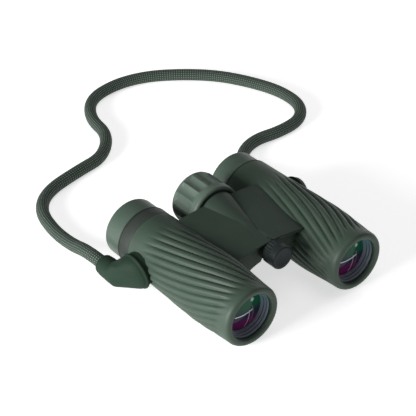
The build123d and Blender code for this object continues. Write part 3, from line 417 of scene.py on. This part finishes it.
# Bridge: two die-cast arms with a fine green coating, the right one carrying the flared hood
# over the hinge. The castings are the frame's own shapes with their edges softened.
bridge_coat = moulded("bridge_coat", (0.029, 0.046, 0.034), 0.6, 0.2, grain=5200.0)


def eased_copy(node, width):
    """A copy of a frame node with its sharp edges rounded over."""
    made = bmesh.new()
    made.from_mesh(frame["nodes"][node].data)
    bmesh.ops.remove_doubles(made, verts=made.verts, dist=2e-6)
    bmesh.ops.dissolve_limit(made, angle_limit=radians(1.0), verts=made.verts,
                             edges=made.edges)
    sharp = [edge for edge in made.edges
             if len(edge.link_faces) == 2 and edge.calc_face_angle(0) > radians(28)]
    bmesh.ops.bevel(made, geom=sharp, offset=width, offset_type="OFFSET", segments=2,
                    profile=0.5, affect="EDGES", clamp_overlap=True, material=-1)
    bmesh.ops.triangulate(made, faces=made.faces)
    return made


casting_ease = 0.00022
for side in ("right", "left"):
    piece = new_piece(f"{side}_bridge_arm", eased_copy(f"{side}_hinge_arm", casting_ease),
                      f"{side}_barrel", "bridge_coat", f"{side}_hinge_arm")
    piece.data.set_sharp_from_angle(angle=radians(30))
    piece.data.materials.append(bridge_coat)


# Eyecups: soft rubber cups pressed over twist-up sleeves, with a rolled rim for the eye.
eyecup_rubber = moulded("eyecup_rubber", (0.055, 0.083, 0.064), 0.42, 0.4)
cup_inside, eye_hole_r, lip_thickness = 0.01622, 0.0120, 0.0015
for side in ("right", "left"):
    centre = barrel_axis(side)
    low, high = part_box(f"{side}_eyecup")
    cup_r = high[0] - centre.x
    front_y, rear_y = low[1], high[1]
    cup = turned(eased([
        (cup_inside, front_y, 0), (cup_r, front_y, 0.0001), (cup_r, rear_y, 0.0018),
        (eye_hole_r, rear_y, 0.0008), (eye_hole_r, rear_y - lip_thickness, 0.0004),
        (cup_inside, rear_y - lip_thickness, 0.0006)]), centre, 128)
    piece = new_piece(f"{side}_eyecup_rubber", cup, f"{side}_eyecup", "eyecup_rubber",
                      f"{side}_eyecup")
    piece.data.materials.append(eyecup_rubber)


# Diopter ring: a plain grey plastic band on the right barrel, level with the armour, with a narrow
# seam groove round it just in front of the eyecup, its floor painted near-black as painted shade.
diopter_grey = moulded("diopter_grey", (0.029, 0.037, 0.031), 0.55, 0.3)
centre = barrel_axis("right")
low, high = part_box("diopter_ring")
band_r = high[0] - centre.x
front_y, rear_y = low[1], high[1]
band_inside, seam_floor = 0.01608, band_r - seam_depth
band = turned(eased([
    (band_inside, front_y, 0), (band_r, front_y, 0.0001), (band_r, rear_y - seam_front, 0),
    (seam_floor, rear_y - seam_front, 0), (seam_floor, rear_y - seam_rear, 0),
    (band_r, rear_y - seam_rear, 0), (band_r, rear_y, 0.0001), (band_inside, rear_y, 0)], 4),
    centre, 128)
# painted shade: mark the seam groove's floor to be coloured near-black
seam_shade = band.verts.layers.float.new("seam_shade")
for vertex in band.verts:
    radius = hypot(vertex.co.x - centre.x, vertex.co.z - centre.z)
    sunk = band_inside + 0.0009 < radius < band_r - 0.7 * seam_depth
    vertex[seam_shade] = 1.0 if sunk and vertex.co.y < rear_y - 0.5 * seam_rear else 0.0
piece = new_piece("diopter_band", band, "diopter_ring", "diopter_grey", "diopter_ring")
piece.data.materials.append(diopter_grey)


# Focus wheel: a rubber grip moulded round a plastic wheel, with fifteen scooped flutes that meet
# in ridges. They start on the rounded rear shoulder and fade out before the plain front rim.
grip_rubber = moulded("grip_rubber", (0.080, 0.112, 0.090), 0.5, 0.3)
low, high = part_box("focus_wheel_grip")
hinge_axis = Vector(((low[0] + high[0]) / 2, 0, (low[2] + high[2]) / 2))
grip_r = high[2] - hinge_axis.z
grip_front, grip_rear = low[1], high[1]
shoulder = 0.0034
flutes = 15
flute_depth = 0.0014
front_ease = 0.0016
grip_inside, shoulder_hole_r, shoulder_wall = 0.01355, 0.0109, 0.0023
outline = [(grip_inside, grip_rear - shoulder_wall), (grip_inside, grip_front + 0.0003),
           (grip_inside + 0.0002, grip_front)]
outline += [(grip_r - front_ease * (1 - sin(a)), grip_front + front_ease * (1 - cos(a)))
            for a in (radians(15 * k) for k in range(7))]
outline += [(grip_r, grip_front + front_ease
             + (grip_rear - shoulder - grip_front - front_ease) * k / 36)
            for k in range(1, 37)]
outline += [(grip_r - shoulder * (1 - cos(a)), grip_rear - shoulder * (1 - sin(a)))
            for a in (radians(7.5 * k) for k in range(1, 13))]
outline += [(shoulder_hole_r, grip_rear), (shoulder_hole_r, grip_rear - shoulder_wall)]
grip = turned(outline, hinge_axis, 20 * flutes)
for vertex in grip.verts:
    away = vertex.co - hinge_axis
    away.y = 0
    if away.length > 0.0142:
        column = (atan2(away.z, away.x) * flutes / (2 * pi)) % 1
        scoop = 1 - (2 * column - 1) ** 2
        run_out = (smooth_share(vertex.co.y, grip_front + 0.0036, grip_front + 0.0072)
                   * (1 - smooth_share(vertex.co.y, grip_rear - 0.0040, grip_rear - 0.0014)))
        scale = 1 - flute_depth * scoop * run_out / away.length
        vertex.co.x = hinge_axis.x + away.x * scale
        vertex.co.z = hinge_axis.z + away.z * scale
piece = new_piece("focus_wheel_rubber", grip, "focus_wheel", "grip_rubber", "focus_wheel_grip")
piece.data.materials.append(grip_rubber)


# Tripod cap: a small slate-grey plastic knob that closes the threaded socket in the hinge, ribbed
# round its rear half and plain in front, with a shallow dish in its face.
cap_grey = moulded("cap_grey", (0.016, 0.021, 0.022), 0.5, 0.18)
low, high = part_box("tripod_cap")
cap_r = high[2] - hinge_axis.z
cap_front = low[1]
cap_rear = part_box("tripod_cap_washer")[0][1]
cap_ribs = 24
cap_rib_depth = 0.00042
cap_ease = 0.0009
stud_r, stud_length = 0.0031, 0.007
outline = [(0.0, cap_front + 0.0003), (0.0044, cap_front + 0.0003), (0.0049, cap_front)]
outline += [(cap_r - cap_ease * (1 - sin(a)), cap_front + cap_ease * (1 - cos(a)))
            for a in (radians(15 * k) for k in range(7))]
outline += [(cap_r, cap_front + cap_ease + (cap_rear - 0.0004 - cap_front - cap_ease) * k / 24)
            for k in range(1, 25)]
outline += [(cap_r - 0.0004, cap_rear), (stud_r, cap_rear), (stud_r, cap_rear + stud_length),
            (0.0, cap_rear + stud_length)]
cap = turned(outline, hinge_axis, 12 * cap_ribs, closed=False)
for vertex in cap.verts:
    away = vertex.co - hinge_axis
    away.y = 0
    if away.length > cap_r - 0.0006 and vertex.co.y > cap_front + 0.001:
        column = (atan2(away.z, away.x) * cap_ribs / (2 * pi)) % 1
        groove = max(0.0, 1 - 1.3 * abs(2 * column - 1))
        run_out = smooth_share(vertex.co.y, cap_front + 0.0038, cap_front + 0.0052)
        scale = 1 - cap_rib_depth * groove * run_out / away.length
        vertex.co.x = hinge_axis.x + away.x * scale
        vertex.co.z = hinge_axis.z + away.z * scale
piece = new_piece("tripod_knob", cap, "tripod_cap", "cap_grey", "tripod_cap")
piece.data.materials.append(cap_grey)


# Strap connectors: each is one elastomer moulding, a thick round flange against the barrel's lug
# that swells into an elbow and a sleeve, glued round the end of the cord.
strap_fitting = moulded("strap_fitting", (0.017, 0.033, 0.022), 0.6, 0.08)
lug_y = 0.0210
lug_tilt = radians(10)
flange_r = 0.0110
flange_ease = 0.0003
sleeve_r = 0.0064
sleeve_end_y = route[0][1] - 0.0001


def closed_skin(made, voxel, rounds):
    """Closed forms that run into each other, made one skin with its edges eased."""
    data = bpy.data.meshes.new("forms")
    made.to_mesh(data)
    made.free()
    source = bpy.data.objects.new("forms", data)
    bpy.context.scene.collection.objects.link(source)
    remesh = source.modifiers.new("skin", "REMESH")
    remesh.mode = "VOXEL"
    remesh.voxel_size = voxel
    skin = bpy.data.meshes.new_from_object(
        source.evaluated_get(bpy.context.evaluated_depsgraph_get()))
    bpy.data.objects.remove(source)
    bpy.data.meshes.remove(data)
    eased_skin = bmesh.new()
    eased_skin.from_mesh(skin)
    bpy.data.meshes.remove(skin)
    for _ in range(rounds):
        bmesh.ops.smooth_vert(eased_skin, verts=eased_skin.verts, factor=0.5, use_axis_x=True,
                              use_axis_y=True, use_axis_z=True)
    bmesh.ops.recalc_face_normals(eased_skin, faces=eased_skin.faces)
    return eased_skin


def swept(made, rings):
    """The hull of rings, each (middle, axis, radius), as one closed form."""
    corners = []
    for middle, axis, radius in rings:
        facing = axis.to_track_quat("Z", "Y").to_matrix().to_4x4()
        ring = bmesh.ops.create_circle(made, segments=48, radius=radius,
                                       matrix=Matrix.Translation(middle) @ facing)
        corners += ring["verts"]
    hull = bmesh.ops.convex_hull(made, input=corners)
    bmesh.ops.delete(made, geom=list(set(hull["geom_interior"] + hull["geom_unused"])),
                     context="VERTS")


rearward = Vector((0, 1, 0))
for side, out in (("right", -1), ("left", 1)):
    centre = barrel_axis(side)
    outward = Vector((out * cos(lug_tilt), 0, -sin(lug_tilt)))
    sleeve_axis = Vector((out * -route[0][0], 0, route[0][2]))
    seat = Vector((centre.x, lug_y, centre.z))
    forms = bmesh.new()
    swept(forms, [(seat + out_by * outward, outward, radius) for out_by, radius in (
        (0.0194, flange_r - flange_ease), (0.0194 + flange_ease, flange_r),
        (0.0210 - flange_ease, flange_r), (0.0210, flange_r - flange_ease))])
    elbow = [(seat + out_by * outward + back_by * rearward, outward, radius)
             for out_by, back_by, radius in (
                 (0.0206, 0, 0.0105), (0.0226, 0.0004, 0.0100), (0.0243, 0.0012, 0.0092),
                 (0.0260, 0.0024, 0.0080), (0.0277, 0.0040, 0.0066), (0.0294, 0.0062, 0.0050))]
    elbow += [(sleeve_axis + y * rearward, rearward, sleeve_r) for y in (0.0290, 0.0350)]
    swept(forms, elbow)
    swept(forms, [(sleeve_axis + y * rearward, rearward, radius) for y, radius in (
        (0.0300, sleeve_r), (0.0400, sleeve_r - 0.0002), (sleeve_end_y - 0.0012, 0.0058),
        (sleeve_end_y, 0.0049))])
    piece = new_piece(f"{side}_elbow", closed_skin(forms, 0.00034, 5), f"{side}_barrel",
                      "strap_fitting", f"{side}_strap_connector")
    piece.data.materials.append(strap_fitting)


# Objectives: in each mouth a stepped, satin-anodised baffle ring holds the coated front lens,
# which lies well behind the rim. The ring is tinted teal towards its top as a painted reflection,
# and its two grooves are painted near-black as painted shade. The lens colour is painted
# reflection, green above and purple below, with thin bright arcs and a glint painted on as
# reflections of light.
anodise, tree, shader = new_material("objective_anodise", 0.4, 0.4)
place = add_node(tree, "ShaderNodeTexCoord")
apart = add_node(tree, "ShaderNodeSeparateXYZ")
tree.links.new(place.outputs["Object"], apart.inputs[0])
# painted reflection: the ring's colour runs from blue-grey below to teal above, by height
height = add_node(tree, "ShaderNodeMapRange", inputs={"From Min": 0.014, "From Max": 0.031})
tree.links.new(apart.outputs["Z"], height.inputs["Value"])
reflection_tint = add_node(tree, "ShaderNodeMix", data_type="RGBA", inputs={
    6: (0.27, 0.30, 0.37, 1), 7: (0.06, 0.20, 0.20, 1)})
tree.links.new(height.outputs[0], reflection_tint.inputs[0])
# painted shade: faces deep in the ring's two grooves are coloured near-black
groove_painted_shade = add_node(tree, "ShaderNodeAttribute", attribute_name="groove_painted_shade")
groove_shade = add_node(tree, "ShaderNodeMix", data_type="RGBA",
                        inputs={7: (0.004, 0.007, 0.009, 1)})
tree.links.new(groove_painted_shade.outputs["Fac"], groove_shade.inputs[0])
tree.links.new(reflection_tint.outputs[2], groove_shade.inputs[6])
tree.links.new(groove_shade.outputs[2], shader.inputs["Base Color"])
turning = add_node(tree, "ShaderNodeTexNoise", inputs={"Scale": 2500.0, "Detail": 2.0})
tree.links.new(place.outputs["Object"], turning.inputs["Vector"])
turned_bump = add_node(tree, "ShaderNodeBump", inputs={"Strength": 0.3, "Distance": 0.000008})
tree.links.new(turning.outputs["Fac"], turned_bump.inputs["Height"])
tree.links.new(turned_bump.outputs[0], shader.inputs["Normal"])

coated_glass, tree, shader = new_material("coated_glass", 0.07, 0.12)
across = add_node(tree, "ShaderNodeAttribute", attribute_name="across")
apart = add_node(tree, "ShaderNodeSeparateXYZ")
tree.links.new(across.outputs["Vector"], apart.inputs[0])


def maths(operation, *values):
    """A math node; each value is a number or another node's output."""
    node = add_node(tree, "ShaderNodeMath", operation=operation)
    for socket, value in zip(node.inputs, values):
        if isinstance(value, (int, float)):
            socket.default_value = value
        else:
            tree.links.new(value, socket)
    return node.outputs[0]


lens_x, lens_z = apart.outputs["X"], apart.outputs["Z"]
# painted reflection: the lens colour runs from purple below through dark navy to green above,
# slanted a little across
reflection_tint = add_node(tree, "ShaderNodeValToRGB")
reflection_tint.color_ramp.elements[0].color = (0.12, 0.014, 0.085, 1)
reflection_tint.color_ramp.elements[1].color = (0.006, 0.11, 0.075, 1)
for position, colour in ((0.20, (0.11, 0.012, 0.085, 1)), (0.34, (0.018, 0.024, 0.05, 1)),
                         (0.46, (0.016, 0.03, 0.05, 1)), (0.56, (0.006, 0.08, 0.035, 1))):
    reflection_tint.color_ramp.elements.new(position).color = colour
slope = maths("MULTIPLY_ADD", lens_z, 0.5, 0.5)
tree.links.new(maths("MULTIPLY_ADD", lens_x, 0.06, slope), reflection_tint.inputs[0])


def thin_line(distance, half_width):
    """A mask that is 1 where a distance is nil and falls to 0 at half a line's width."""
    return maths("SUBTRACT", 1.0, maths("MINIMUM", maths("DIVIDE", maths("ABSOLUTE", distance),
                                                         half_width), 1.0))


def between(value, low, high):
    return maths("MULTIPLY", maths("GREATER_THAN", value, low), maths("LESS_THAN", value, high))


def from_point(x, z):
    run = maths("POWER", maths("SUBTRACT", lens_x, x), 2.0)
    rise = maths("POWER", maths("SUBTRACT", lens_z, z), 2.0)
    return maths("SQRT", maths("ADD", run, rise))


# painted reflections on the lens: a shallow bright bow, a deeper rosy arc and an amber arc beside
# it
bow_highlight = maths("MULTIPLY", thin_line(maths("SUBTRACT", from_point(-0.08, 1.85), 2.035), 0.035),
            between(lens_x, -0.52, 0.47))
rim_reflection = maths("MULTIPLY", thin_line(maths("SUBTRACT", from_point(-0.75, -0.25), 1.03), 0.03),
                 between(lens_z, -0.92, -0.06))
inner_reflection = maths("MULTIPLY", thin_line(maths("SUBTRACT", from_point(-0.62, -0.25), 1.12),
                                         0.028), between(lens_z, -0.8, 0.1))
glint = maths("SUBTRACT", 1.0, maths("MINIMUM", maths("DIVIDE", from_point(0.46, 0.40), 0.12),
                                     1.0))
# painted highlight: the bright bow and a glint are mixed in near-white
highlight_mix = add_node(tree, "ShaderNodeMix", data_type="RGBA", inputs={7: (0.95, 1.0, 0.95, 1)})
tree.links.new(reflection_tint.outputs[0], highlight_mix.inputs[6])
tree.links.new(maths("MAXIMUM", bow_highlight, maths("MULTIPLY", glint, 0.7)), highlight_mix.inputs[0])
# painted reflection: a rosy arc
rosy_reflection = add_node(tree, "ShaderNodeMix", data_type="RGBA", inputs={7: (0.60, 0.48, 0.62, 1)})
tree.links.new(highlight_mix.outputs[2], rosy_reflection.inputs[6])
tree.links.new(rim_reflection, rosy_reflection.inputs[0])
# painted reflection: an amber arc
amber_reflection = add_node(tree, "ShaderNodeMix", data_type="RGBA", inputs={7: (0.42, 0.18, 0.24, 1)})
tree.links.new(rosy_reflection.outputs[2], amber_reflection.inputs[6])
tree.links.new(maths("MULTIPLY", inner_reflection, 0.8), amber_reflection.inputs[0])
tree.links.new(amber_reflection.outputs[2], shader.inputs["Base Color"])
seat_r = 0.01440
bulge = 0.0013                             # how far the front lens stands out in its middle
for side in ("right", "left"):
    centre = barrel_axis(side)
    lens_low, lens_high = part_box(f"{side}_objective_lens")
    lens_r = lens_high[0] - centre.x
    edge_y = lens_low[1] + 0.0013
    lip_y = rim_y + 0.0031
    steps = [(seat_r, lip_y), (0.01318, lip_y), (0.01300, lip_y + 0.0012),
             (0.01400, lip_y + 0.0012), (0.01400, lip_y + 0.0018), (0.01270, lip_y + 0.0018),
             (0.01252, lip_y + 0.0029), (0.01350, lip_y + 0.0029), (0.01350, lip_y + 0.0035),
             (0.01220, lip_y + 0.0035), (0.01190, edge_y - 0.0002), (0.01190, edge_y + 0.0005),
             (seat_r, edge_y + 0.0005)]
    baffle = turned(steps, centre, 128)
    # painted shade: mark the faces deep in the grooves to be coloured near-black
    groove_shade_mark = baffle.verts.layers.float.new("groove_painted_shade")
    for vertex in baffle.verts:
        in_groove = lip_y + 0.0010 < vertex.co.y < edge_y - 0.0004
        deep = hypot(vertex.co.x - centre.x, vertex.co.z - centre.z) > 0.0134
        vertex[groove_shade_mark] = 1.0 if in_groove and deep else 0.0
    piece = new_piece(f"{side}_objective_baffle", baffle, f"{side}_barrel",
                      "objective_anodise", f"{side}_objective_ring")
    piece.data.set_sharp_from_angle(angle=radians(35))
    piece.data.materials.append(anodise)
    sphere = (lens_r ** 2 + bulge ** 2) / (2 * bulge)
    front = [(lens_r * k / 16, edge_y - (sphere ** 2 - (lens_r * k / 16) ** 2) ** 0.5
              + sphere - bulge) for k in range(17)]
    glass = turned(front + [(lens_r, edge_y + 0.0022), (0.0, edge_y + 0.0026)], centre, 96,
                   closed=False)
    lens_place = glass.verts.layers.float_vector.new("across")
    for vertex in glass.verts:
        vertex[lens_place] = (vertex.co - centre) / lens_r
    piece = new_piece(f"{side}_objective_glass", glass, f"{side}_barrel", "coated_glass",
                      f"{side}_objective_lens")
    piece.data.materials.append(coated_glass)


# Everything else is the frame's own shape: tubes, cells, prisms, hinge, focusing and wheel parts,
# each finished as its stock is.
finishes = {
    "strap_fitting": strap_fitting,
    "objective_anodise": anodise,
    "coated_glass": coated_glass,
    "optical_glass": moulded("optical_glass", (0.10, 0.13, 0.13), 0.05, 0.8, grain=900.0,
                             depth=0.000002),
    "seal_rubber": moulded("seal_rubber", (0.012, 0.012, 0.012), 0.6),
    "steel": moulded("ground_steel", (0.42, 0.42, 0.43), 0.3, metallic=1.0, grain=4000.0),
    "brass": moulded("machined_brass", (0.62, 0.45, 0.2), 0.3, metallic=1.0, grain=4000.0),
    "wheel_plastic": moulded("wheel_plastic", (0.02, 0.028, 0.023), 0.45),
    "inner_plastic": moulded("inner_plastic", (0.015, 0.015, 0.015), 0.7),
    "black_alloy": moulded("black_alloy", (0.02, 0.02, 0.022), 0.4, metallic=0.6),
    "armour_rubber": armour_rubber,
    "eyecup_rubber": eyecup_rubber,
    "grip_rubber": grip_rubber,
    "bridge_coat": bridge_coat,
    "braided_cord": braid,
    "cap_grey": cap_grey,
    "diopter_grey": diopter_grey,
}
for row in frame["record"]["subparts"]:
    node = frame["nodes"][row["node"]]
    node.data.materials.clear()
    node.data.materials.append(finishes[row["material_slot"]])


# Floor and light: a wide pale sheet, a large soft lamp from the user's right, low enough to rake
# the ribs, a weak one from above, and an even pale room.
floor = bmesh.new()
bmesh.ops.create_grid(floor, x_segments=1, y_segments=1, size=4.0)
floor_data = bpy.data.meshes.new("floor")
floor.to_mesh(floor_data)
floor.free()
floor_piece = bpy.data.objects.new("floor", floor_data)
bpy.context.scene.collection.objects.link(floor_piece)
pale, tree, shader = new_material("pale_floor", 0.9, 0.1)
shader.inputs["Base Color"].default_value = (0.86, 0.86, 0.86, 1)
shader.inputs["Emission Color"].default_value = (1, 1, 1, 1)
shader.inputs["Emission Strength"].default_value = 0.62
floor_data.materials.append(pale)

for name, place, size, power in (("key", (-1.27, 0.08, 0.35), 0.7, 27.0),
                                 ("top", (0.1, -0.2, 1.5), 1.2, 3.0),
                                 ("fill", (1.1, 0.35, 0.45), 0.9, 4.0)):
    lamp_data = bpy.data.lights.new(name, "AREA")
    lamp_data.shape = "DISK"
    lamp_data.size = size
    lamp_data.energy = power
    lamp_data.specular_factor = 0.0 if name == "fill" else 1.0
    lamp = bpy.data.objects.new(name, lamp_data)
    lamp.matrix_world = Matrix.Translation(place) @ Vector(place).to_track_quat(
        "Z", "Y").to_matrix().to_4x4()
    bpy.context.scene.collection.objects.link(lamp)

world = bpy.data.worlds.new("room")
bpy.context.scene.world = world
world.use_nodes = True
world.node_tree.nodes["Background"].inputs["Color"].default_value = (1, 1, 1, 1)
world.node_tree.nodes["Background"].inputs["Strength"].default_value = 0.12
